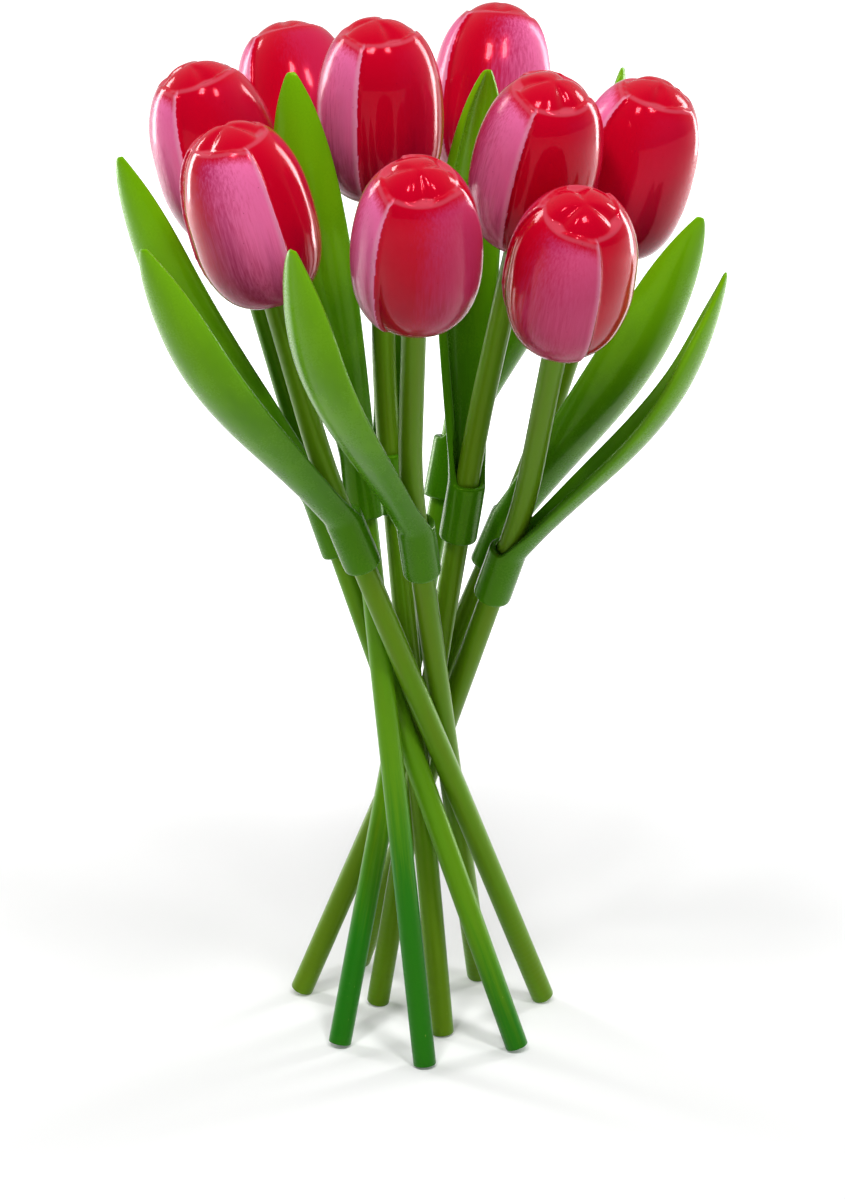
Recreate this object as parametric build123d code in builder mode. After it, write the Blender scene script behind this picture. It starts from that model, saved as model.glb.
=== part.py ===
from build123d import *
import math
import os
from collections import namedtuple

# A bunch of nine wooden tulips that stands on its sawn stem ends. Each tulip has a turned and carved bloom,
# a dowel for a stem and one moulded leaf, whose sleeve turns on the stem. Millimetres and degrees, +Z up,
# the viewer on the -Y side, and the origin on the floor under the middle of the bunch.
middle_x = -1.1  # the bunch's middle, from the middle of the waist
middle_y = -9.5

# Stem: a round dowel, bent a little above its leaf, with its top end glued into the bloom
stem_diameter = 7.5
stem_length = 286.0  # from the foot to the underside of the bloom
stem_gap = 0.5  # least room between two stems that cross at the waist
bend_run = 18.0  # length of stem on each side of the bend that the curve takes up
waist_drop = 188.0  # the waist, where the stems cross, below the blooms

# Bloom: an egg of wood, with petals carved in low relief round an inner cup
bloom_diameter = 38.5
bloom_height = 56.5
bloom_foot_diameter = 12.0
bloom_gap = 5.5  # room that the bunch leaves between blooms side by side
belly_height = 24.0  # where the bloom is widest
foot_fullness = 0.85  # of the radius, how far out the underside runs level
side_fullness = 0.5  # of the belly's height, how far down the side hangs upright
top_fullness = 0.67  # 0.55 would make the upper half a plain ellipse
hole_depth = 20.0
glue_gap = 0.1  # all round the stem's end in its hole
petal_count = 3
petal_step = 1.2  # a petal's free edge stands this far over the petal beside it
petal_depth = 1.4  # the cup lies this far inside the petals
petal_drop = 4.0  # top of a petal below the top of the cup
petal_shoulder = 10.0  # how far down a petal's top rounds over into its free edge

# Points along a petal's top up to its free edge, as shares: across the petal from its middle, of the bloom's
# radius, and drop from the petal's top, of petal_shoulder
ARCH = ((-1.0, 0.1), (0.3, 0.0), (0.58, 0.12), (0.72, 0.42), (0.84, 1.0), (1.0, 2.4))

# Leaf: one moulding, a sleeve round the stem with a hollow blade growing from its side
sleeve_height = 20.0
sleeve_wall = 2.2
sleeve_fit = 0.08  # running room all round the stem
sleeve_rim = 1.2  # rounding of the sleeve's lower rim
scoop_height = 13.0  # the sleeve's rim sweeps up by this much towards the blade
scoop_side = 0.4  # of the sleeve's radius towards the blade, where the rim has risen by scoop_rise
scoop_rise = 0.3  # of scoop_height
leaf_length = 145.0  # from the sleeve's lower rim to the blade's tip
leaf_reach = 36.0  # of the blade's outer face from the stem's middle
leaf_width = 22.5
leaf_thickness = 3.0
leaf_relief = 4.0  # the blade's root opens by this much to clear the bend

# Stations up the blade, as shares: height of leaf_length, place of leaf_reach, breadth of leaf_width,
# hollow of the station's own breadth, body of leaf_thickness
Station = namedtuple("Station", "height reach breadth hollow body")
BLADE = (
    Station(0.09, 0.16, 0.50, 0.34, 1.0),
    Station(0.23, 0.30, 0.66, 0.32, 1.0),
    Station(0.38, 0.55, 0.84, 0.28, 1.0),
    Station(0.58, 0.86, 1.00, 0.28, 1.0),
    Station(0.77, 0.99, 0.93, 0.27, 1.0),
    Station(0.91, 0.98, 0.62, 0.23, 0.8),
    Station(1.00, 0.93, 0.12, 0.06, 0.4),
)

# Each tulip's place: waist is where its stem crosses the waist, in stem pitches; aim is where the straight
# lower stem points at the blooms' level, and crown where the bent top points, both in bloom pitches.
# The leaf's sleeve sits leaf_drop below the bloom and its blade faces leaf_heading. turn is the heading
# of one petal's free edge. Headings run from +X towards +Y.
Tulip = namedtuple("Tulip", "name waist aim crown leaf_drop leaf_heading turn")
BUNCH = (
    Tulip("left_back", (-0.25, -0.91), (-1.50, 0.15), (-1.35, -0.15), 110, -129, -117),
    Tulip("left_front", (0.90, -0.65), (-1.30, -1.40), (-1.13, -1.13), 98, -126, -62),
    Tulip("back_left", (-1.15, -2.08), (-0.65, 0.05), (-0.80, 0.62), 103, -101, -133),
    Tulip("back_middle", (-0.20, 0.10), (-0.40, 0.15), (-0.29, -0.09), 106, 65, -110),
    Tulip("back_right", (-1.10, 0.85), (0.60, 0.95), (0.47, 1.24), 103, -19, -141),
    Tulip("front_middle", (1.00, 0.50), (-0.30, -1.55), (-0.04, -1.75), 106, -132, -126),
    Tulip("middle_right", (0.00, 1.20), (0.65, -0.30), (0.70, -0.69), 112, 114, -110),
    Tulip("right_back", (-0.35, 2.25), (1.60, -0.10), (1.40, -0.14), 116, -67, -142),
    Tulip("right_front", (0.75, 2.00), (1.35, -1.25), (1.01, -1.73), 117, -15, -69),
)

stem_radius = stem_diameter / 2
bloom_radius = bloom_diameter / 2
stem_pitch = stem_diameter + stem_gap
bloom_pitch = bloom_diameter + bloom_gap
waist_height = stem_length - waist_drop
bore_radius = stem_radius + sleeve_fit
sleeve_radius = bore_radius + sleeve_wall

os.makedirs("parts", exist_ok=True)


def heading_vector(heading):
    """The level direction of a heading."""
    return Vector(math.cos(math.radians(heading)), math.sin(math.radians(heading)), 0)


def bunch_point(place, pitch, height):
    """A tulip's place in the bunch, given in pitches, at a height above the floor."""
    return Vector(place[0] * pitch - middle_x, place[1] * pitch - middle_y, height)


def bloom_outline(plane, radius):
    """Half of the bloom's outline on a plane through its axis."""
    foot = (bloom_foot_diameter / 2, 0)
    belly = (radius, belly_height)
    top = (0, bloom_height)
    rise = bloom_height - belly_height
    with BuildSketch(plane) as outline:
        with BuildLine():
            Bezier(foot, (foot_fullness * radius, 0), (radius, side_fullness * belly_height), belly)
            upright = (radius, belly_height + top_fullness * rise)
            level = (top_fullness * radius, bloom_height)
            Bezier(belly, upright, level, top)
            Polyline(top, (0, 0), foot)
        make_face()
    return outline.sketch


def blade_section(plane, breadth, hollow, body):
    """A thin crescent across the blade, hollow towards the stem, its outer face at the plane's origin."""
    half = breadth / 2
    edge = body / 2
    with BuildSketch(plane) as crescent:
        with BuildLine():
            outer = ThreePointArc((-hollow, -half), (0, 0), (-hollow, half))
            far = Line(outer @ 1, (-hollow - edge, half - edge))
            inner = ThreePointArc(far @ 1, (-body, 0), (-hollow - edge, edge - half))
            Line(inner @ 1, outer @ 0)
        make_face()
    return crescent.sketch


# One petal: a sector of the bloom, turned about a centre that is set over so that one edge stands free
petal_arc = 360 / petal_count
petal_middle = heading_vector(-petal_arc / 2)
petal_across = Vector(-petal_middle.Y, petal_middle.X, 0)
petal_centre = petal_across * (petal_step / (2 * math.sin(math.radians(petal_arc / 2))))
petal_top = bloom_height - petal_drop

with BuildPart() as petal:
    start = Plane(petal_centre, x_dir=heading_vector(-petal_arc), z_dir=heading_vector(-petal_arc - 90))
    add(bloom_outline(start, bloom_radius))
    revolve(axis=Axis(petal_centre, (0, 0, 1)), revolution_arc=petal_arc)
    with BuildSketch(Plane((0, 0, 0), x_dir=petal_across, z_dir=petal_middle)):
        with BuildLine():
            arch = Spline([(side * bloom_radius, petal_top - drop * petal_shoulder) for side, drop in ARCH])
            Polyline(arch @ 1, (bloom_radius, 0), (-bloom_radius, 0), arch @ 0)
        make_face()
    extrude(amount=bloom_diameter, mode=Mode.INTERSECT)

# The bloom on its own: the cup and its petals in one piece, with a blind hole for the stem
with BuildPart() as bloom_form:
    add(bloom_outline(Plane.XZ, bloom_radius - petal_depth))
    revolve(axis=Axis.Z)
    with PolarLocations(0, petal_count):
        add(petal.part)
    with BuildSketch(Plane.XY):
        Circle(stem_radius + glue_gap)
    extrude(amount=hole_depth, mode=Mode.SUBTRACT)

# The leaf on its own: its sleeve stands on the origin and the blade faces +X
with BuildPart() as leaf_form:
    with BuildSketch(Plane.XY):
        Circle(sleeve_radius)
    extrude(amount=sleeve_height + scoop_height)
    fillet(leaf_form.faces().sort_by(Axis.Z)[0].edges(), sleeve_rim)
    with BuildSketch(Plane.XZ):
        with BuildLine():
            scoop = ThreePointArc(
                (-sleeve_radius, sleeve_height),
                (scoop_side * sleeve_radius, sleeve_height + scoop_rise * scoop_height),
                (sleeve_radius, sleeve_height + scoop_height),
            )
            Polyline(scoop @ 1, (-sleeve_radius, sleeve_height + scoop_height), scoop @ 0)
        make_face()
    extrude(amount=sleeve_radius, both=True, mode=Mode.SUBTRACT)
    spine = [Vector(at.reach * leaf_reach, 0, at.height * leaf_length) for at in BLADE]
    sections = []
    for number, at in enumerate(BLADE):
        below = spine[max(number - 1, 0)]
        above = spine[min(number + 1, len(spine) - 1)]
        along = (above - below).normalized() if number else Vector(0, 0, 1)
        across = Plane(spine[number], x_dir=Vector(0, 1, 0).cross(along), z_dir=along)
        breadth = at.breadth * leaf_width
        sections.append(blade_section(across, breadth, at.hollow * breadth, at.body * leaf_thickness))
    loft(sections)
    with BuildSketch(Plane.XY):
        Circle(bore_radius)
    extrude(amount=leaf_length, mode=Mode.SUBTRACT)
    with BuildSketch(Plane.XZ):
        Polygon(
            (0, sleeve_height),
            (bore_radius, sleeve_height),
            (bore_radius + leaf_relief, sleeve_height + bend_run),
            (0, sleeve_height + bend_run),
            align=None,
        )
    revolve(axis=Axis.Z, mode=Mode.SUBTRACT)

# The bunch: each tulip's stem is laid first, and its leaf and bloom are seated on it
for tulip in BUNCH:
    waist = bunch_point(tulip.waist, stem_pitch, waist_height)
    aim = bunch_point(tulip.aim, bloom_pitch, stem_length)
    crown = bunch_point(tulip.crown, bloom_pitch, stem_length)
    lower = (aim - waist).normalized()
    foot_height = stem_radius * math.sqrt(1 - lower.Z**2)
    foot = waist - lower * ((waist_height - foot_height) / lower.Z)
    seat = foot + lower * (stem_length - tulip.leaf_drop)
    bend = seat + lower * (sleeve_height + bend_run)
    upper = (crown - bend).normalized()
    neck = bend + upper * (tulip.leaf_drop - sleeve_height - bend_run)
    bend_radius = bend_run / math.tan(math.radians(lower.get_angle(upper) / 2))

    with BuildPart() as stem:
        with BuildLine():
            FilletPolyline(foot, bend, neck + upper * hole_depth, radius=bend_radius)
        with BuildSketch(Plane(foot, z_dir=lower)):
            Circle(stem_radius)
        sweep()
    stem.part.label = "stem_" + tulip.name
    export_step(stem.part, f"parts/{stem.part.label}.step")

    with BuildPart(Plane(seat, x_dir=heading_vector(tulip.leaf_heading), z_dir=lower)) as leaf:
        add(leaf_form.part)
    leaf.part.label = "leaf_" + tulip.name
    export_step(leaf.part, f"parts/{leaf.part.label}.step")

    with BuildPart(Plane(neck, x_dir=heading_vector(tulip.turn), z_dir=upper)) as bloom:
        add(bloom_form.part)
    bloom.part.label = "bloom_" + tulip.name
    export_step(bloom.part, f"parts/{bloom.part.label}.step")
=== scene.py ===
import math
from collections import namedtuple

import bmesh
import bpy
from mathutils import Matrix, Vector, noise


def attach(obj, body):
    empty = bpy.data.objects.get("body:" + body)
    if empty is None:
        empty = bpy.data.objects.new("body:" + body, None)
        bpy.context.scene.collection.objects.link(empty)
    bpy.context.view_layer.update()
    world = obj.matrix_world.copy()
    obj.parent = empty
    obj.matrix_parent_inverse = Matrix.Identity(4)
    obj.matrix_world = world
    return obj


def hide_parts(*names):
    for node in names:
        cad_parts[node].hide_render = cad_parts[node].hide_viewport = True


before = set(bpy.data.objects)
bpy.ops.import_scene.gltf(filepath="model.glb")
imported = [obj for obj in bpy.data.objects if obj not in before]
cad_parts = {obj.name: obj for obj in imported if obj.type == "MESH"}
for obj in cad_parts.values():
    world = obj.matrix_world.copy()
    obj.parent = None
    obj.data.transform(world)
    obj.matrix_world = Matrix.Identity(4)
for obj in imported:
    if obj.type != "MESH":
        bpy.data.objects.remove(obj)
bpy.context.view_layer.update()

# The stems: round dowels of pale wood, steamed to a slight bend above the leaf, sawn square at the foot
# and brushed green along their length. The top end is glued into a blind hole in the bloom.
mm = 0.001
stem_radius = 3.75
stem_length = 286.0  # from the foot to the underside of the bloom
stem_pitch = 8.0  # room for one stem where the stems cross
bloom_pitch = 44.0  # room for one bloom among the others
waist_height = 98.0  # where the stems cross
middle = (-1.1, -9.5)  # the bunch's middle, from the middle of the waist
bend_run = 18.0  # of stem on each side of the bend that the curve takes up
sleeve_height = 20.0  # of the leaf, below the start of the bend
hole_depth = 20.0
stem_sides = 36
stem_rings = 152
foot_round = 0.45
sanding = 0.05  # the sander takes off up to this much
sander_width = 6.0  # of its marks across the stem, and their run along it
sander_run = 14.0
marks_apart = 9.0  # from one stem's place in the sander's noise to the next one's
strokes_apart = 40.0  # from one stem's place in the brush's noise to the next one's

# Each tulip's place in the bunch, its leaf's place down the stem and heading, its bloom's turn, how far up
# its foot was dipped in darker green, how fresh its green is, and how much pink each of its petals got
Tulip = namedtuple("Tulip", "name waist aim crown leaf_drop leaf_heading turn dip fresh pink")
bunch = (
    Tulip("left_back", (-0.25, -0.91), (-1.50, 0.15), (-1.35, -0.15), 110, -129, -117,
          34, 0.75, (1.0, 0.1, 0.3)),
    Tulip("left_front", (0.90, -0.65), (-1.30, -1.40), (-1.13, -1.13), 98, -126, -62,
          -20, 0.40, (1.0, 0.2, 0.6)),
    Tulip("back_left", (-1.15, -2.08), (-0.65, 0.05), (-0.80, 0.62), 103, -101, -133,
          92, 0.90, (0.9, 0.4, 0.2)),
    Tulip("back_middle", (-0.20, 0.10), (-0.40, 0.15), (-0.29, -0.09), 106, 65, -110,
          -20, 0.30, (1.0, 0.1, 0.5)),
    Tulip("back_right", (-1.10, 0.85), (0.60, 0.95), (0.47, 1.24), 103, -19, -141,
          70, 0.85, (0.9, 1.0, 0.1)),
    Tulip("front_middle", (1.00, 0.50), (-0.30, -1.55), (-0.04, -1.75), 106, -132, -126,
          -20, 0.35, (1.0, 0.65, 0.2)),
    Tulip("middle_right", (0.00, 1.20), (0.65, -0.30), (0.70, -0.69), 112, 114, -110,
          -20, 0.25, (1.0, 0.1, 0.7)),
    Tulip("right_back", (-0.35, 2.25), (1.60, -0.10), (1.40, -0.14), 116, -67, -142,
          -20, 0.20, (1.0, 0.1, 0.4)),
    Tulip("right_front", (0.75, 2.00), (1.35, -1.25), (1.01, -1.73), 117, -15, -69,
          -20, 0.30, (0.75, 0.1, 0.3)),
)
Lie = namedtuple("Lie", "foot lower seat bend upper neck")


def bunch_point(place, pitch, height):
    """A tulip's place in the bunch, given in pitches, at a height above the floor."""
    return Vector((place[0] * pitch - middle[0], place[1] * pitch - middle[1], height))


def lie_of(tulip):
    """How a tulip's stem lies: foot, lower direction, seat of the leaf, bend, upper direction and neck."""
    waist = bunch_point(tulip.waist, stem_pitch, waist_height)
    aim = bunch_point(tulip.aim, bloom_pitch, stem_length)
    crown = bunch_point(tulip.crown, bloom_pitch, stem_length)
    lower = (aim - waist).normalized()
    foot = waist - lower * ((waist_height - stem_radius * math.sqrt(1 - lower.z**2)) / lower.z)
    seat = foot + lower * (stem_length - tulip.leaf_drop)
    bend = seat + lower * (sleeve_height + bend_run)
    upper = (crown - bend).normalized()
    neck = bend + upper * (tulip.leaf_drop - sleeve_height - bend_run)
    return Lie(foot, lower, seat, bend, upper, neck)


def stem_place(lie, reach):
    """The turning and the point of a stem's axis at this reach from the foot."""
    bend_angle = lie.lower.angle(lie.upper)
    bend_radius = bend_run / math.tan(bend_angle / 2)
    start = (lie.bend - lie.foot).length - bend_run
    turned = min(max((reach - start) / bend_radius, 0), bend_angle)
    upright = lie.lower.to_track_quat("Z", "Y").to_matrix()
    hinge = lie.lower.cross(lie.upper).normalized()
    inward = hinge.cross(lie.lower)
    point = lie.foot + lie.lower * min(reach, start)
    point += (lie.lower * math.sin(turned) + inward * (1 - math.cos(turned))) * bend_radius
    point += lie.upper * max(reach - start - bend_angle * bend_radius, 0)
    return Matrix.Rotation(turned, 3, hinge) @ upright, point


def pick(piece, parts, chosen):
    """Selects, in edit mode, only those verts, edges or faces of a piece that are chosen."""
    bpy.ops.mesh.select_mode(type={"verts": "VERT", "edges": "EDGE", "faces": "FACE"}[parts])
    bpy.ops.mesh.select_all(action="DESELECT")
    form = bmesh.from_edit_mesh(piece.data)
    for part in getattr(form, parts):
        if chosen(part):
            part.select_set(True)
    bmesh.update_edit_mesh(piece.data)


def note(piece, name, rows):
    """Writes a value or a vector on each vertex of a piece, for its paint to read."""
    several = isinstance(rows[0], tuple)
    layer = piece.data.attributes.new(name, "FLOAT_VECTOR" if several else "FLOAT", "POINT")
    flat = [part for row in rows for part in row] if several else rows
    layer.data.foreach_set("vector" if several else "value", flat)


def move(piece, places):
    """Moves each vertex of a piece to its new place."""
    piece.data.vertices.foreach_set("co", [part for place in places for part in place])
    piece.data.update()


def copy_of(master, name):
    """A copy of a modelled piece with its own mesh, at the origin."""
    piece = master.copy()
    piece.data = master.data.copy()
    piece.name = name
    piece.data.name = name
    bpy.context.collection.objects.link(piece)
    return piece


class Brush:
    """One socket of a paint's nodes. Arithmetic on it adds Math nodes, and node() adds any other."""

    def __init__(self, tree, socket=None):
        self.tree = tree
        self.socket = socket

    def node(self, kind, settings=(), out=0, **sockets):
        """A node of this kind, with its settings made first and then its sockets filled or linked.

        A socket is named with _ for a blank, or by its number after a _.
        """
        made = self.tree.nodes.new("ShaderNode" + kind)
        for name, value in dict(settings).items():
            setattr(made, name, value)
        for name, value in sockets.items():
            socket = made.inputs[int(name[1:]) if name[1:].isdigit() else name.replace("_", " ")]
            if isinstance(value, Brush):
                self.tree.links.new(value.socket, socket)
            else:
                socket.default_value = value
        return Brush(self.tree, made.outputs[out])

    def math(self, operation, *values):
        """A Math node on these values."""
        sockets = {f"_{number}": value for number, value in enumerate(values)}
        return self.node("Math", {"operation": operation}, **sockets)

    def __add__(self, other):
        return self.math("ADD", self, other)

    def __sub__(self, other):
        return self.math("SUBTRACT", self, other)

    def __mul__(self, other):
        return self.math("MULTIPLY", self, other)

    def __rsub__(self, other):
        return self.math("SUBTRACT", other, self)

    __radd__ = __add__
    __rmul__ = __mul__

    def fade(self, low, high):
        """0 below low, 1 above high, and smooth between."""
        smooth = {"interpolation_type": "SMOOTHSTEP"}
        return self.node("MapRange", smooth, Value=self, From_Min=low, From_Max=high)

    def over(self, under, upper):
        """The colour upper laid over the colour under, where this mask is 1."""
        return self.node("Mix", {"data_type": "RGBA"}, out=2, _0=self, _6=under, _7=upper)

    def stretched(self, along):
        """A place drawn out by these factors."""
        return self.node("VectorMath", {"operation": "MULTIPLY"}, _0=self, _1=along)

    def speckle(self, scale, detail=2.0, roughness=0.5):
        """Noise at this place."""
        return self.node("TexNoise", Vector=self, Scale=scale, Detail=detail, Roughness=roughness)


def paint(name):
    """A new painted finish: the material, its shader node and a brush for its nodes."""
    finish = bpy.data.materials.new(name)
    finish.use_nodes = True
    return finish, finish.node_tree.nodes["Principled BSDF"], Brush(finish.node_tree)


def coat_with(piece, finish):
    """Gives a piece its one finish, and smooth shading."""
    piece.data.materials.clear()
    piece.data.materials.append(finish)
    for face in piece.data.polygons:
        face.use_smooth = True


stem_paint, shader, brush = paint("stem_green")
along = brush.node("Attribute", {"attribute_name": "dowel_place"}, out=1)
height = brush.node("SeparateXYZ", out=2, Vector=along)
dip = brush.node("Attribute", {"attribute_name": "foot_dip"}, out=2)
fresh = brush.node("Attribute", {"attribute_name": "freshness"}, out=2)
# Strokes run along the dowel, patches are where one coat shows through another, and scuffs are near the foot
strokes = along.stretched((1.0, 1.0, 0.035)).speckle(0.9, 4.0, 0.6)
patches = along.stretched((1.0, 1.0, 0.16)).speckle(0.16, 2.0)
scuffs = along.stretched((1.0, 1.0, 0.45)).speckle(0.75, 3.0, 0.7)
rolled = height.math("SINE", height * 3.1 + patches * 9.0)
olive = (0.120, 0.230, 0.006, 1)
spring_green = (0.105, 0.290, 0.006, 1)
deep_green = (0.010, 0.165, 0.006, 1)
worn_green = (0.270, 0.400, 0.060, 1)
mixed = (fresh + (patches - 0.5) * 1.1 + (strokes - 0.5) * 0.5).fade(0.0, 1.0).over(olive, spring_green)
dipped = (dip - height + (strokes - 0.5) * 60.0).fade(-22.0, 40.0)
dipped_green = dipped.over(mixed, deep_green)
scuffed = scuffs.fade(0.66, 0.80) * (60.0 - height).fade(0.0, 50.0) * 0.55
brush.tree.links.new(scuffed.over(dipped_green, worn_green).socket, shader.inputs["Base Color"])
brush.tree.links.new((strokes * 0.22 + 0.22).socket, shader.inputs["Roughness"])
ripples = rolled * (75.0 - height).fade(0.0, 60.0) * 0.25
stroke_relief = brush.node("Bump", Height=strokes * 0.6 + ripples, Strength=0.22, Distance=0.25 * mm)
brush.tree.links.new(stroke_relief.socket, shader.inputs["Normal"])
shader.inputs["Specular IOR Level"].default_value = 0.3
shader.inputs["Specular Tint"].default_value = (0.50, 0.90, 0.04, 1)
shader.inputs["Coat Weight"].default_value = 0.06
shader.inputs["Coat Roughness"].default_value = 0.12

dowel_length = stem_length + hole_depth
bpy.ops.object.select_all(action="DESELECT")
bpy.ops.mesh.primitive_cylinder_add(
    vertices=stem_sides, radius=stem_radius, depth=dowel_length, location=(0, 0, dowel_length / 2)
)
dowel = bpy.context.object
bpy.ops.object.transform_apply(location=True, rotation=True, scale=True)
bpy.ops.object.mode_set(mode="EDIT")
pick(dowel, "edges", lambda edge: abs(edge.verts[0].co.z - edge.verts[1].co.z) > stem_radius)
bpy.ops.mesh.subdivide(number_cuts=stem_rings)
pick(dowel, "edges", lambda edge: max(vert.co.z for vert in edge.verts) < foot_round)
bpy.ops.mesh.bevel(offset=foot_round, segments=3, profile=0.5, affect="EDGES")
bpy.ops.object.mode_set(mode="OBJECT")

for number, tulip in enumerate(bunch):
    lie = lie_of(tulip)
    stem = copy_of(dowel, "painted_stem_" + tulip.name)
    shift = strokes_apart * number
    note(stem, "dowel_place", [(v.co.x + shift, v.co.y, v.co.z) for v in stem.data.vertices])
    note(stem, "foot_dip", [float(tulip.dip)] * len(stem.data.vertices))
    note(stem, "freshness", [tulip.fresh] * len(stem.data.vertices))
    bent = []
    for vert in stem.data.vertices:
        x, y, z = vert.co
        turning, point = stem_place(lie, z)
        mark = Vector((x / sander_width, y / sander_width + marks_apart * number, z / sander_run))
        hollow = 0.5 + 0.5 * noise.noise(mark)
        across = Vector((x, y, 0)) * (1 - sanding * hollow / stem_radius)
        bent.append((point + turning @ across) * mm)
    move(stem, bent)
    coat_with(stem, stem_paint)
    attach(stem, "tulip_" + tulip.name)
    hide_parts("stem_" + tulip.name)
bpy.data.objects.remove(dowel)

# The leaves: each is one moulding of glossy green plastic. Its sleeve is pushed up the stem and turns on it,
# and the hollow blade grows out of the sleeve's rim with thick rounded edges and a blunt point.
skin_radius = 6.1  # of the sleeve's outside, before the moulding is rounded
bore_radius = 3.83
sleeve_rows = (1.6, 7.0, 13.5, 18.5, 20.0)
blade_side = 106.0  # the blade takes up the rim to this far each side of its middle, in degrees
rim_sides = 24
on_rim = 0.1  # a vertex within this of the rim is on it
blade_thickness = 3.0
sleeve_share = 0.74  # of the blade's thickness
tip_share = 0.45
swelling = (18.0, 34.0)  # heights between which the wall swells to the blade's thickness
thinning = (118.0, 146.0)  # heights between which it thins to the tip
veins_apart = 50.0  # from one leaf's place in the veins' noise to the next one's
Row = namedtuple("Row", "height reach breadth hollow")
blade_rows = (
    Row(24.5, 7.8, 12.8, 6.6),
    Row(31.0, 9.9, 14.4, 5.5),
    Row(42.0, 14.2, 16.8, 5.3),
    Row(55.0, 19.6, 19.3, 5.6),
    Row(70.0, 26.0, 21.9, 6.0),
    Row(86.0, 31.6, 23.3, 6.4),
    Row(101.0, 34.9, 23.0, 6.2),
    Row(115.0, 35.9, 20.9, 5.6),
    Row(126.0, 35.7, 17.4, 4.4),
    Row(135.0, 35.0, 12.8, 2.8),
    Row(141.5, 34.1, 7.6, 1.3),
    Row(146.0, 33.3, 2.8, 0.4),
)
relief_slope = 0.22  # the root of the blade stands off the stem by this much for each mm up


def part_way(value, low, high):
    """How far a value lies from low to high, from 0 to 1."""
    return min(max((value - low) / (high - low), 0), 1)


def turn_outward(skin):
    """Turns the faces of an open skin away from the upright axis."""
    if sum(face.normal.dot((face.center.x, face.center.y, 0)) for face in skin.data.polygons) < 0:
        skin.data.flip_normals()


leaf_plastic, shader, brush = paint("leaf_green")
moulded = brush.node("Attribute", {"attribute_name": "leaf_place"}, out=1)
shelter = brush.node("Attribute", {"attribute_name": "hollow_side"}, out=2)
rise = brush.node("SeparateXYZ", out=2, Vector=moulded)
veins = moulded.stretched((0.25, 1.0, 0.012)).speckle(1.15, 3.0, 0.6)
clouds = moulded.stretched((1.0, 1.0, 0.5)).speckle(0.09, 2.0)
pores = moulded.speckle(1.6, 2.0)
leaf_lit_green = (0.155, 0.400, 0.003, 1)
leaf_middle = (0.052, 0.195, 0.002, 1)
leaf_shade_green = (0.034, 0.125, 0.003, 1)
# Painted light: the blade's green is painted lighter towards its tip, which stands up in the light, and
# darker low down among the stems.
tip_lit_blade = (rise + (clouds - 0.5) * 70.0).fade(25.0, 140.0).over(leaf_middle, leaf_lit_green)
# Painted shade: the inside of the hollow is painted a deeper green, most of all low down by the sleeve,
# streaked along the veins.
hollow_shade_mask = shelter * (0.75 + (veins - 0.5) * 0.8) * (125.0 - rise).fade(0.0, 85.0)
hollow_shaded_leaf = hollow_shade_mask.over(tip_lit_blade, leaf_shade_green)
brush.tree.links.new(hollow_shaded_leaf.socket, shader.inputs["Base Color"])
brush.tree.links.new((clouds * 0.14 + pores * 0.08 + 0.16).socket, shader.inputs["Roughness"])
vein_relief = brush.node("Bump", Height=veins * 0.8 + pores * 0.15, Strength=0.16, Distance=0.3 * mm)
brush.tree.links.new(vein_relief.socket, shader.inputs["Normal"])
shader.inputs["Specular IOR Level"].default_value = 0.3
shader.inputs["Specular Tint"].default_value = (0.50, 0.90, 0.03, 1)
shader.inputs["Coat Weight"].default_value = 0.055
shader.inputs["Coat Roughness"].default_value = 0.08

bpy.ops.object.select_all(action="DESELECT")
bpy.ops.mesh.primitive_circle_add(vertices=rim_sides, radius=skin_radius, fill_type="NOTHING")
leaf_form = bpy.context.object
bpy.ops.object.mode_set(mode="EDIT")
below = 0.0
for row in sleeve_rows:
    bpy.ops.mesh.select_mode(type="EDGE")
    bpy.ops.mesh.extrude_region_move(TRANSFORM_OT_translate={"value": (0, 0, row - below)})
    below = row
in_blade = math.radians(blade_side)
pick(
    leaf_form,
    "edges",
    lambda edge: min(vert.co.z for vert in edge.verts) > below - on_rim
    and all(abs(math.atan2(vert.co.y, vert.co.x)) < in_blade for vert in edge.verts),
)
for number, row in enumerate(blade_rows):
    bpy.ops.mesh.extrude_region_move(TRANSFORM_OT_translate={"value": (0, 0, 1)})
    form = bmesh.from_edit_mesh(leaf_form.data)
    edge_row = [vert for vert in form.verts if vert.select]
    centre = sum(vert.co.x for vert in edge_row) / len(edge_row) - 2 * skin_radius
    edge_row.sort(key=lambda vert: math.atan2(vert.co.y, vert.co.x - (centre if number else 0)))
    before = blade_rows[number - 1] if number else Row(sleeve_height, skin_radius, 0, 0)
    after = blade_rows[min(number + 1, len(blade_rows) - 1)]
    up = Vector((after.reach - before.reach, 0, after.height - before.height)).normalized()
    out = Vector((up.z, 0, -up.x))
    half = row.breadth / 2
    swing = 2 * math.atan(row.hollow / half)
    arc_radius = half / math.sin(swing)
    for step, vert in enumerate(edge_row):
        angle = swing * (2 * step / (len(edge_row) - 1) - 1)
        vert.co = Vector((row.reach, 0, row.height)) - out * (arc_radius * (1 - math.cos(angle)))
        vert.co.y = arc_radius * math.sin(angle)
    bmesh.update_edit_mesh(leaf_form.data)
bpy.ops.mesh.select_all(action="SELECT")
bpy.ops.mesh.normals_make_consistent(inside=False)
bpy.ops.object.mode_set(mode="OBJECT")
turn_outward(leaf_form)
body = leaf_form.vertex_groups.new(name="body")
for vert in leaf_form.data.vertices:
    swelled = part_way(vert.co.z, *swelling)
    thinned = part_way(vert.co.z, *thinning)
    thickness = sleeve_share + (1 - sleeve_share) * swelled - (1 - tip_share) * thinned
    body.add([vert.index], thickness, "REPLACE")
wall = leaf_form.modifiers.new("wall", "SOLIDIFY")
wall.thickness = blade_thickness
wall.offset = -1
wall.use_even_offset = True
wall.vertex_group = "body"
rounding = leaf_form.modifiers.new("rounding", "SUBSURF")
rounding.levels = 2
rounding.render_levels = 2
bpy.ops.object.modifier_apply(modifier="wall")
bpy.ops.object.modifier_apply(modifier="rounding")
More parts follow.
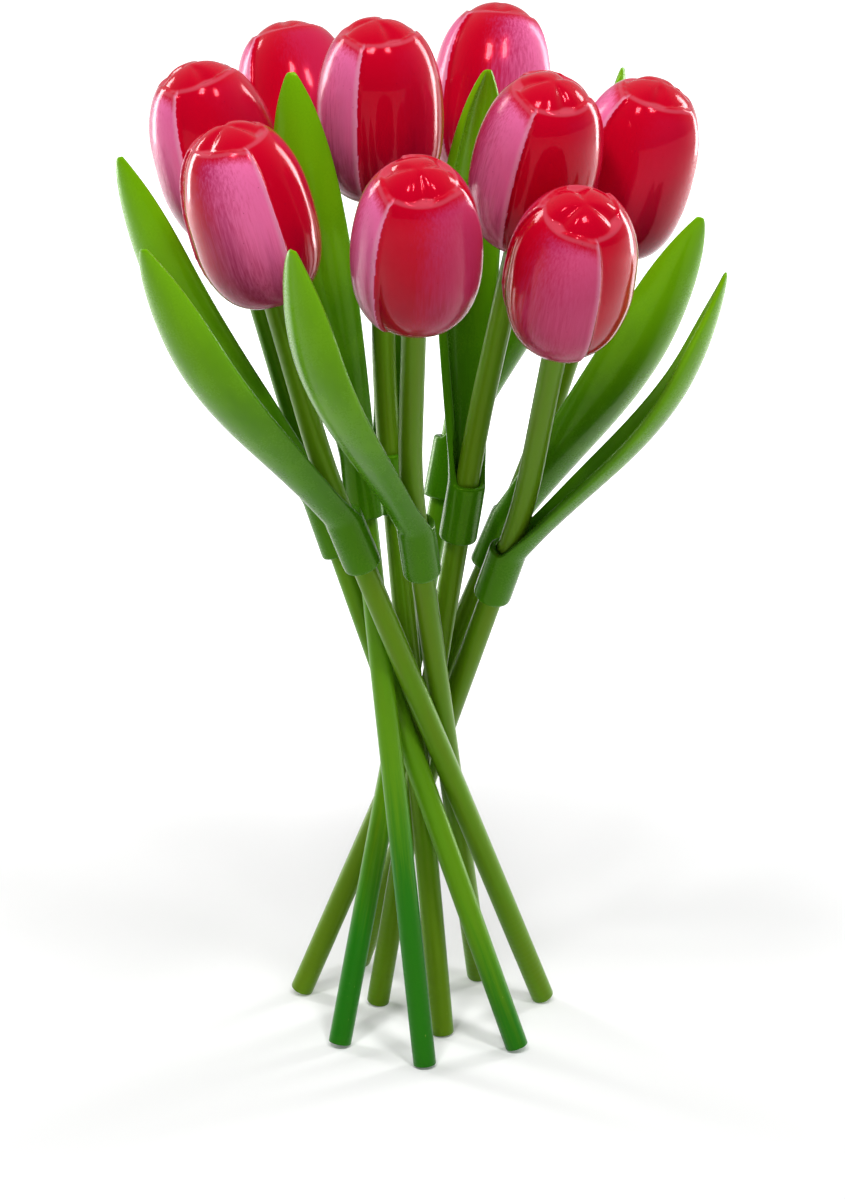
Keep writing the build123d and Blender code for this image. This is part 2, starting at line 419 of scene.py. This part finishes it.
for vert in leaf_form.data.vertices:
    away = math.hypot(vert.co.x, vert.co.y)
    least = bore_radius + max(vert.co.z - sleeve_height, 0) * relief_slope
    if away < least and vert.co.z < sleeve_height + bend_run:
        vert.co.x *= least / away
        vert.co.y *= least / away

for number, tulip in enumerate(bunch):
    lie = lie_of(tulip)
    leaf = copy_of(leaf_form, "moulded_leaf_" + tulip.name)
    shift = veins_apart * number
    note(leaf, "leaf_place", [(v.co.x, v.co.y + shift, v.co.z) for v in leaf.data.vertices])
    facing = [max(-v.normal.x, 0.0) if v.co.z > sleeve_height else 0.0 for v in leaf.data.vertices]
    note(leaf, "hollow_side", facing)
    heading = math.radians(tulip.leaf_heading)
    ahead = Vector((math.cos(heading), math.sin(heading), 0))
    ahead = (ahead - lie.lower * ahead.dot(lie.lower)).normalized()
    turning = Matrix((ahead, lie.lower.cross(ahead), lie.lower)).transposed()
    move(leaf, [(lie.seat + turning @ vert.co) * mm for vert in leaf.data.vertices])
    coat_with(leaf, leaf_plastic)
    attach(leaf, "leaf_" + tulip.name)
    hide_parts("leaf_" + tulip.name)
bpy.data.objects.remove(leaf_form)

# The blooms: each is turned from one piece of wood and carved, with petals that lap over each other round a
# closed cup. It is dipped in red lacquer, and each petal's lapping edge gets a stroke of pink.
bloom_radius = 19.25
bloom_height = 56.5
bloom_foot = 6.0
belly_height = 24.0
foot_fullness = 0.85
side_fullness = 0.5
top_fullness = 0.67
outline_steps = 28
petal_step = 1.2  # a petal's lapping edge stands this far over the next petal
petal_depth = 1.4  # the cup lies this far inside the petals
petal_count = 3
petal_arc = 360.0 / petal_count
petal_steps = 44
petal_tuck = 9.0  # of a petal's arc, hidden under the one beside it
petal_body = 2.8
# A petal's top edge: across from the petal's middle, and height
arch_points = (
    (-19.3, 51.5),
    (-9.0, 52.2),
    (5.8, 52.5),
    (9.0, 52.0),
    (11.2, 51.3),
    (13.0, 49.6),
    (13.9, 48.3),
    (15.2, 45.2),
    (16.2, 42.5),
    (19.3, 28.5),
)
# The furrows between the cup's own petals, which run out towards its top
furrow_depth = 1.3
furrow_width = 17.0  # in degrees
furrow_heading = 50.0
furrow_end = 5.0  # from the bloom's axis
furrow_drop = 0.5  # of its depth
glue_gap = 0.1
lathe_steps = 96
carving = 0.5  # the finest cut
knife_marks = 0.28  # how far the knife leaves the true form
knife_width = 13.0  # of the knife's marks
clean_foot = (2.0, 12.0)  # heights between which the marks set in
cuts_apart = 7.3  # from one bloom's place in the knife's noise to the next one's, and in the brush's
bristles_apart = 70.0
at_foot = 0.001  # a vertex this low is at the foot
weld = 0.01
petal_weld = 0.02
near_axis = 0.5


def outline_curve(radius):
    """The bloom's outline from foot to top, as a line of vertices."""
    rise = bloom_height - belly_height
    bpy.ops.object.select_all(action="DESELECT")
    bpy.ops.curve.primitive_bezier_curve_add()
    curve = bpy.context.object
    spline = curve.data.splines[0]
    spline.bezier_points.add(1)
    spline.resolution_u = outline_steps
    fullness = top_fullness * rise
    places = (
        ((bloom_foot, 0), (bloom_foot, 0), (foot_fullness * radius, 0)),
        ((radius, belly_height), (radius, side_fullness * belly_height), (radius, belly_height + fullness)),
        ((0, bloom_height), (top_fullness * radius, bloom_height), (0, bloom_height)),
    )
    for knot, (place, before, after) in zip(spline.bezier_points, places):
        knot.handle_left_type = "FREE"
        knot.handle_right_type = "FREE"
        knot.co = (place[0], 0, place[1])
        knot.handle_left = (before[0], 0, before[1])
        knot.handle_right = (after[0], 0, after[1])
    bpy.ops.object.convert(target="MESH")
    return bpy.context.object


def arch_height(across):
    """The height of a petal's top edge, this far across from the petal's middle."""
    for (low, start), (high, end) in zip(arch_points, arch_points[1:]):
        if across <= high or high == arch_points[-1][0]:
            return start + (end - start) * part_way(across, low, high)


bloom_lacquer, shader, brush = paint("red_lacquer")
carved = brush.node("Attribute", {"attribute_name": "bloom_place"}, out=1)
petal_place = brush.node("Attribute", {"attribute_name": "petal_place"}, out=1)
share = brush.node("SeparateXYZ", out=0, Vector=petal_place)
under_arch = brush.node("SeparateXYZ", out=1, Vector=petal_place)
pinkness = brush.node("SeparateXYZ", out=2, Vector=petal_place)
height = brush.node("SeparateXYZ", out=2, Vector=carved)
# Bristles are the marks of the pink's brush, blotches its thick and thin places, and pits dust in the lacquer
bristles = carved.stretched((1.0, 1.0, 0.045)).speckle(1.5, 4.0, 0.65)
blotches = carved.stretched((1.0, 1.0, 0.4)).speckle(0.11, 2.0)
grain = carved.stretched((1.0, 1.0, 0.06)).speckle(3.2, 2.0)
pits = carved.node("TexVoronoi", Vector=carved, Scale=0.33)
scarlet = (0.530, 0.001, 0.017, 1)
shade_and_pit_crimson = (0.260, 0.001, 0.020, 1)
rose = (0.500, 0.030, 0.130, 1)
lilac_pink = (0.800, 0.150, 0.360, 1)
shaded_rose = (0.300, 0.018, 0.070, 1)
highlight_pink = (0.760, 0.330, 0.470, 1)
# Painted shade: the lacquer's red is painted darker crimson low on the bloom, where less light falls; the
# same crimson also colours the dust pits.
low = (height + (blotches - 0.5) * 26.0).fade(0.0, 32.0)
shaded_reds = low.over(shade_and_pit_crimson, scarlet)
stroke = (share + (bristles - 0.5) * 0.34 + (blotches - 0.5) * 0.25).fade(0.24, 0.58)
on_petal = (under_arch + (bristles - 0.5) * 2.0).fade(0.2, 3.2)
thick_paint = (share + (bristles - 0.5) * 0.55).fade(0.38, 0.85) * pinkness.fade(0.5, 1.0)
upper_pinks = thick_paint.over(rose, lilac_pink)
# Painted shade: the pink is painted a deep rose low on the bloom, where less light falls.
pinks_shaded_low = (height + (bristles - 0.5) * 14.0).fade(-2.0, 32.0).over(shaded_rose, upper_pinks)
panel = stroke * on_petal * pinkness * (0.80 + bristles * 0.35)
# Painted highlight: a thin pale pink line along each petal's lapping edge, where the edge catches the light.
lapping_edge_highlight = share.fade(0.945, 0.985) * under_arch.fade(-0.6, 0.4)
# Painted highlight: a pale pink line along each petal's top edge, where its ridge catches the light.
arch_highlight = (1.0 - brush.math("ABSOLUTE", under_arch - 0.2).fade(0.1, 0.7)) * 0.14
painted = panel.over(shaded_reds, pinks_shaded_low)
highlighted = (lapping_edge_highlight * pinkness * 0.6 + arch_highlight).over(painted, highlight_pink)
specked = (1.0 - pits.fade(0.04, 0.10)) * 0.35
brush.tree.links.new(specked.over(highlighted, shade_and_pit_crimson).socket, shader.inputs["Base Color"])
brush.tree.links.new((bristles * panel * 0.18 + blotches * 0.06 + 0.10).socket, shader.inputs["Roughness"])
ridges = bristles * panel * 0.8 + grain * 0.12
brush_relief = brush.node("Bump", Height=ridges, Strength=0.2, Distance=0.2 * mm)
brush.tree.links.new(brush_relief.socket, shader.inputs["Normal"])
shader.inputs["Specular IOR Level"].default_value = 0.35
shader.inputs["Specular Tint"].default_value = (1.00, 0.05, 0.10, 1)
shader.inputs["Coat Weight"].default_value = 0.08
shader.inputs["Coat Roughness"].default_value = 0.04

cup = outline_curve(bloom_radius - petal_depth)
bpy.ops.object.mode_set(mode="EDIT")
pick(cup, "verts", lambda vert: vert.co.z < at_foot)
stem_hole = stem_radius + glue_gap
for step in ((stem_hole - bloom_foot, 0, 0), (0, 0, hole_depth), (-stem_hole, 0, 0)):
    bpy.ops.mesh.extrude_region_move(TRANSFORM_OT_translate={"value": step})
bpy.ops.mesh.select_all(action="SELECT")
bpy.ops.mesh.spin(steps=lathe_steps, angle=math.tau, center=(0, 0, 0), axis=(0, 0, 1))
bpy.ops.mesh.select_all(action="SELECT")
bpy.ops.mesh.remove_doubles(threshold=weld)
bpy.ops.mesh.normals_make_consistent(inside=False)
bpy.ops.object.mode_set(mode="OBJECT")
dented = []
for vert in cup.data.vertices:
    x, y, z = vert.co
    away = math.hypot(x, y)
    if z > belly_height and away > weld:
        angle = (math.degrees(math.atan2(y, x)) - furrow_heading) % petal_arc
        off = min(angle, petal_arc - angle)
        dent = furrow_depth * math.exp(-((off / furrow_width) ** 2)) * min(away / furrow_end, 1)
        x *= 1 - dent / away
        y *= 1 - dent / away
        z -= furrow_drop * dent
    dented.append((x, y, z))
move(cup, dented)

middle_heading = math.radians(-petal_arc / 2)
facing_out = Vector((math.cos(middle_heading), math.sin(middle_heading), 0))
across_petal = Vector((-facing_out.y, facing_out.x, 0))
set_over = across_petal * (petal_step / (2 * math.sin(math.radians(petal_arc / 2))))
petal = outline_curve(bloom_radius)
outline = [(vert.co.x, vert.co.z) for vert in petal.data.vertices]
for vert in petal.data.vertices:
    start = math.radians(-petal_arc - petal_tuck)
    vert.co = set_over + Vector((vert.co.x * math.cos(start), vert.co.x * math.sin(start), vert.co.z))
bpy.ops.object.mode_set(mode="EDIT")
bpy.ops.mesh.select_all(action="SELECT")
petal_spin = -math.radians(petal_arc + petal_tuck)  # minus, because spin turns clockwise
bpy.ops.mesh.spin(steps=petal_steps, angle=petal_spin, center=set_over, axis=(0, 0, 1))
bpy.ops.object.mode_set(mode="OBJECT")
# What rises over the arch is drawn down the outline on to it
for vert in petal.data.vertices:
    from_centre = vert.co - set_over
    heading = math.atan2(from_centre.y, from_centre.x)
    radius = math.hypot(from_centre.x, from_centre.y)
    top = vert.co.z
    for place, at_height in reversed(outline):
        if at_height <= top:
            sideways = place * math.sin(heading - middle_heading)
            if at_height <= arch_height(sideways):
                break
            top, radius = at_height, place
    if top < vert.co.z:
        vert.co = set_over + Vector((radius * math.cos(heading), radius * math.sin(heading), top))
bpy.ops.object.mode_set(mode="EDIT")
bpy.ops.mesh.select_all(action="SELECT")
bpy.ops.mesh.remove_doubles(threshold=petal_weld)
bpy.ops.mesh.normals_make_consistent(inside=False)
bpy.ops.object.mode_set(mode="OBJECT")
turn_outward(petal)
wall = petal.modifiers.new("wall", "SOLIDIFY")
wall.thickness = petal_body
wall.offset = -1
bpy.ops.object.modifier_apply(modifier="wall")
petals = [petal]
for number in range(1, petal_count):
    lapped = copy_of(petal, "petal")
    lapped.data.transform(Matrix.Rotation(math.radians(number * petal_arc), 4, "Z"))
    petals.append(lapped)
bpy.ops.object.select_all(action="DESELECT")
for part in petals:
    part.select_set(True)
cup.select_set(True)
bpy.context.view_layer.objects.active = cup
bpy.ops.object.join()
one_block = cup.modifiers.new("one_block", "REMESH")
one_block.mode = "VOXEL"
one_block.voxel_size = carving
sanded = cup.modifiers.new("sanded", "SMOOTH")
sanded.factor = 0.5
sanded.iterations = 3
bpy.ops.object.modifier_apply(modifier="one_block")
bpy.ops.object.modifier_apply(modifier="sanded")

for number, tulip in enumerate(bunch):
    lie = lie_of(tulip)
    bloom = copy_of(cup, "lacquered_bloom_" + tulip.name)
    shift = bristles_apart * number
    note(bloom, "bloom_place", [(v.co.x + shift, v.co.y, v.co.z) for v in bloom.data.vertices])
    rows = []
    for vert in bloom.data.vertices:
        away = max(math.hypot(vert.co.x, vert.co.y), near_axis)
        turned = math.degrees(math.atan2(vert.co.y, vert.co.x) - set_over.y / away) + petal_arc
        angle = turned % petal_arc
        sideways = away * math.sin(math.radians(angle - petal_arc / 2))
        petal_number = round((turned - angle) / petal_arc) % petal_count
        rows.append((angle / petal_arc, arch_height(sideways) - vert.co.z, tulip.pink[petal_number]))
    note(bloom, "petal_place", rows)
    heading = math.radians(tulip.turn)
    ahead = Vector((math.cos(heading), math.sin(heading), 0))
    ahead = (ahead - lie.upper * ahead.dot(lie.upper)).normalized()
    turning = Matrix((ahead, lie.upper.cross(ahead), lie.upper)).transposed()
    cuts = []
    for vert in bloom.data.vertices:
        uneven = noise.noise(vert.co / knife_width + Vector((0, 0, cuts_apart * number)))
        depth = knife_marks * uneven * part_way(vert.co.z, *clean_foot)
        cuts.append(vert.co + vert.normal * depth)
    move(bloom, [(lie.neck + turning @ cut) * mm for cut in cuts])
    coat_with(bloom, bloom_lacquer)
    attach(bloom, "tulip_" + tulip.name)
    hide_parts("bloom_" + tulip.name)
bpy.data.objects.remove(cup)

# The floor: a plain white studio sweep that takes the bunch's soft shadow.
# The camera sees it almost white, and it lights the undersides of the blooms and leaves.
floor_side = 16
bpy.ops.object.select_all(action="DESELECT")
bpy.ops.mesh.primitive_plane_add(size=floor_side)
floor = bpy.context.object
floor.name = "studio_floor"
floor_white, shader, brush = paint("floor_white")
near_white = (0.74, 0.74, 0.74, 1)
far_white = (0.92, 0.92, 0.92, 1)
spot = brush.node("TexCoord", out=3)
outward = brush.node("VectorMath", {"operation": "LENGTH"}, out=1, _0=spot).fade(0.10, 0.75)
brush.tree.links.new(outward.over(near_white, far_white).socket, shader.inputs["Base Color"])
shader.inputs["Roughness"].default_value = 0.9
shader.inputs["Specular IOR Level"].default_value = 0.0
seen = brush.node("LightPath", out=0)
mirrored = brush.node("LightPath", out=3)
through = brush.node("LightPath", out=6)
near_glow = (0.13, 0.13, 0.13, 1)
far_glow = (0.95, 0.95, 0.95, 1)
glow = brush.node("Emission", Color=outward.over(near_glow, far_glow))
lit = Brush(brush.tree, shader.outputs[0])
seen_white = brush.node("AddShader", _0=lit, _1=glow)
shown = brush.math("MAXIMUM", brush.math("MAXIMUM", seen, mirrored), through)
surface = brush.node("MixShader", _0=shown, _1=lit, _2=seen_white)
brush.tree.links.new(surface.socket, brush.tree.nodes["Material Output"].inputs["Surface"])
floor.data.materials.append(floor_white)

# The light: two soft boxes side by side, overhead and in front, and a tall strip behind at each side.
# A white sweep stands behind and beside the bunch, and the room behind the camera is dim.
look_at = Vector((0, 0, 0.25))
lamps = (
    ("left_box", (-0.28, -0.62, 1.32), (0.17, 0.26), 8.0),
    ("right_box", (0.32, -0.62, 1.32), (0.17, 0.26), 8.0),
    ("left_strip", (-0.80, 0.58, 0.40), (0.20, 0.9), 7.0),
    ("right_strip", (0.80, 0.58, 0.40), (0.20, 0.9), 7.0),
)
for name, place, size, power in lamps:
    bpy.ops.object.light_add(type="AREA", location=place)
    lamp = bpy.context.object
    lamp.name = name
    lamp.data.shape = "RECTANGLE"
    lamp.data.size, lamp.data.size_y = size
    lamp.data.energy = power
    lamp.rotation_euler = (look_at - Vector(place)).to_track_quat("-Z", "Y").to_euler()
room = bpy.data.worlds.new("studio")
bpy.context.scene.world = room
room.use_nodes = True
brush = Brush(room.node_tree)
towards = brush.node("TexCoord", out=0)
behind = brush.node("SeparateXYZ", out=1, Vector=towards).fade(-0.55, 0.35)
dim_room = (0.05, 0.05, 0.05, 1)
white_sweep = (0.50, 0.50, 0.50, 1)
backdrop = room.node_tree.nodes["Background"]
room.node_tree.links.new(behind.over(dim_room, white_sweep).socket, backdrop.inputs["Color"])

# The camera: a long lens on a stand, straight in front of the bunch.
# It looks a little down on it, and takes in the whole bunch and its shadow.
focus = Vector((1.2, -13.94, 159.5)) * mm
camera_distance = 1.406
camera_tilt = math.radians(20)
bpy.ops.object.camera_add()
camera = bpy.context.object
camera.location = focus + camera_distance * Vector((0, -math.cos(camera_tilt), math.sin(camera_tilt)))
camera.rotation_euler = (math.pi / 2 - camera_tilt, 0, 0)
camera.data.sensor_fit = "VERTICAL"
camera.data.sensor_height = 24
camera.data.lens = 90
camera.data.clip_end = 100
bpy.context.scene.camera = camera
bpy.context.scene.view_settings.view_transform = "Standard"
